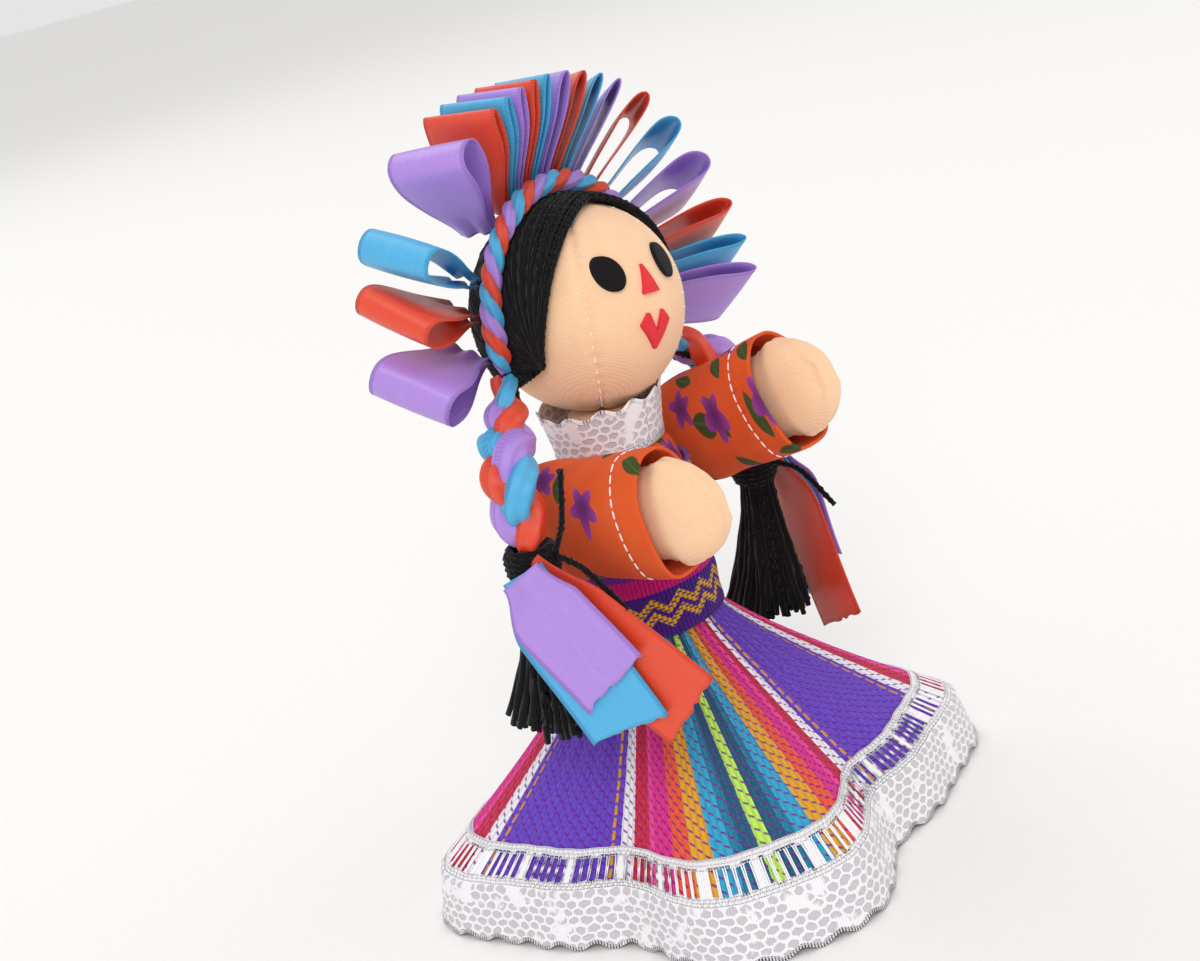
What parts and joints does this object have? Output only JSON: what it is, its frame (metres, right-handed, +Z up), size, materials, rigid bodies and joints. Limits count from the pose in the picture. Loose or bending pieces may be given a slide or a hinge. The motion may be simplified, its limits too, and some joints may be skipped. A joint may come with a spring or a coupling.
{
  "type": "rag doll",
  "caption": "Small stuffed cloth rag doll with yarn hair, ribbon-loop headdress, hanging ribbon braids, printed sleeves, woven sash and gathered striped skirt edged with lace.",
  "frame": {"origin": "middle of the hem's footprint, on the surface that the skirt stands on", "axes": "+Z up the doll, -Y the way that it faces, -X its right hand"},
  "size_m": [0.0926, 0.0952, 0.1426],
  "materials": {
    "skin_cloth": "plain cotton with a fine diagonal rib",
    "stuffing": "loose polyester fill",
    "black_yarn": "matt acrylic yarn",
    "black_felt": "matt",
    "red_felt": "matt",
    "ribbon_lilac": "satin",
    "ribbon_orange": "satin",
    "ribbon_blue": "satin",
    "printed_cloth": "plain cotton, printed",
    "brocade": "woven bands",
    "striped_cloth": "coarse woven stripes",
    "lace": "white net lace"
  },
  "bodies": {
    "torso": {"torso": "skin_cloth", "torso_stuffing": "stuffing", "blouse": "printed_cloth", "sash": "brocade", "collar_lace": "lace", "skirt": "striped_cloth", "skirt_lace": "lace"},
    "head": {"head": "skin_cloth", "head_stuffing": "stuffing", "hair": "black_yarn", "eye_right": "black_felt", "eye_left": "black_felt", "nose": "red_felt", "mouth": "red_felt", "crown_braid": "ribbon_lilac", "ribbon_loop_01": "ribbon_lilac", "ribbon_loop_02": "ribbon_orange", "ribbon_loop_03": "ribbon_blue", "ribbon_loop_04": "ribbon_lilac", "ribbon_loop_05": "ribbon_orange", "ribbon_loop_06": "ribbon_blue", "ribbon_loop_07": "ribbon_lilac", "ribbon_loop_08": "ribbon_orange", "ribbon_loop_09": "ribbon_blue", "ribbon_loop_10": "ribbon_lilac", "ribbon_loop_11": "ribbon_orange", "ribbon_loop_12": "ribbon_blue", "ribbon_loop_13": "ribbon_lilac", "ribbon_loop_14": "ribbon_orange", "ribbon_loop_15": "ribbon_blue", "ribbon_loop_16": "ribbon_lilac", "ribbon_loop_17": "ribbon_orange", "ribbon_loop_18": "ribbon_blue", "ribbon_loop_19": "ribbon_lilac"},
    "arm_right": {"arm_right": "skin_cloth", "arm_right_stuffing": "stuffing", "sleeve_right": "printed_cloth"},
    "leg_right": {"leg_right": "skin_cloth", "leg_right_stuffing": "stuffing"},
    "braid_right": {"braid_right": "ribbon_orange", "braid_right_tie": "black_yarn", "braid_right_tassel": "black_yarn", "braid_right_tail_lilac": "ribbon_lilac", "braid_right_tail_orange": "ribbon_orange", "braid_right_tail_blue": "ribbon_blue"},
    "arm_left": {"arm_left": "skin_cloth", "arm_left_stuffing": "stuffing", "sleeve_left": "printed_cloth"},
    "leg_left": {"leg_left": "skin_cloth", "leg_left_stuffing": "stuffing"},
    "braid_left": {"braid_left": "ribbon_orange", "braid_left_tie": "black_yarn", "braid_left_tassel": "black_yarn", "braid_left_tail_lilac": "ribbon_lilac", "braid_left_tail_orange": "ribbon_orange", "braid_left_tail_blue": "ribbon_blue"}
  },
  "joints": [
    {"name": "neck_turn", "type": "hinge", "parent": "torso", "child": "head", "pos_m": [0, 0, 0.085], "axis": [0.1219, 0, 0.9925], "range_deg": [-6, 6], "stiffness_Nm_per_rad": 0.04},
    {"name": "shoulder_right", "type": "hinge", "parent": "torso", "child": "arm_right", "pos_m": [-0.0208, -0.002, 0.072], "axis": [-1, 0, 0], "range_deg": [-43, 20], "stiffness_Nm_per_rad": 0.04},
    {"name": "shoulder_left", "type": "hinge", "parent": "torso", "child": "arm_left", "pos_m": [0.0208, -0.002, 0.072], "axis": [-0.9945, 0.1045, 0], "range_deg": [-52, 10], "stiffness_Nm_per_rad": 0.04},
    {"name": "hip_right", "type": "hinge", "parent": "torso", "child": "leg_right", "pos_m": [-0.0062, 0, 0.0315], "axis": [-1, 0, 0], "range_deg": [-25, 25]},
    {"name": "hip_left", "type": "hinge", "parent": "torso", "child": "leg_left", "pos_m": [0.0062, 0, 0.0315], "axis": [-1, 0, 0], "range_deg": [-25, 25]},
    {"name": "braid_right_swing", "type": "hinge", "parent": "head", "child": "braid_right", "pos_m": [-0.0211, 0.0014, 0.0989], "axis": [0, 1, 0], "range_deg": [0, 22]},
    {"name": "braid_left_swing", "type": "hinge", "parent": "head", "child": "braid_left", "pos_m": [0.0235, 0.0014, 0.0938], "axis": [0, -1, 0], "range_deg": [0, 22]}
  ]
}
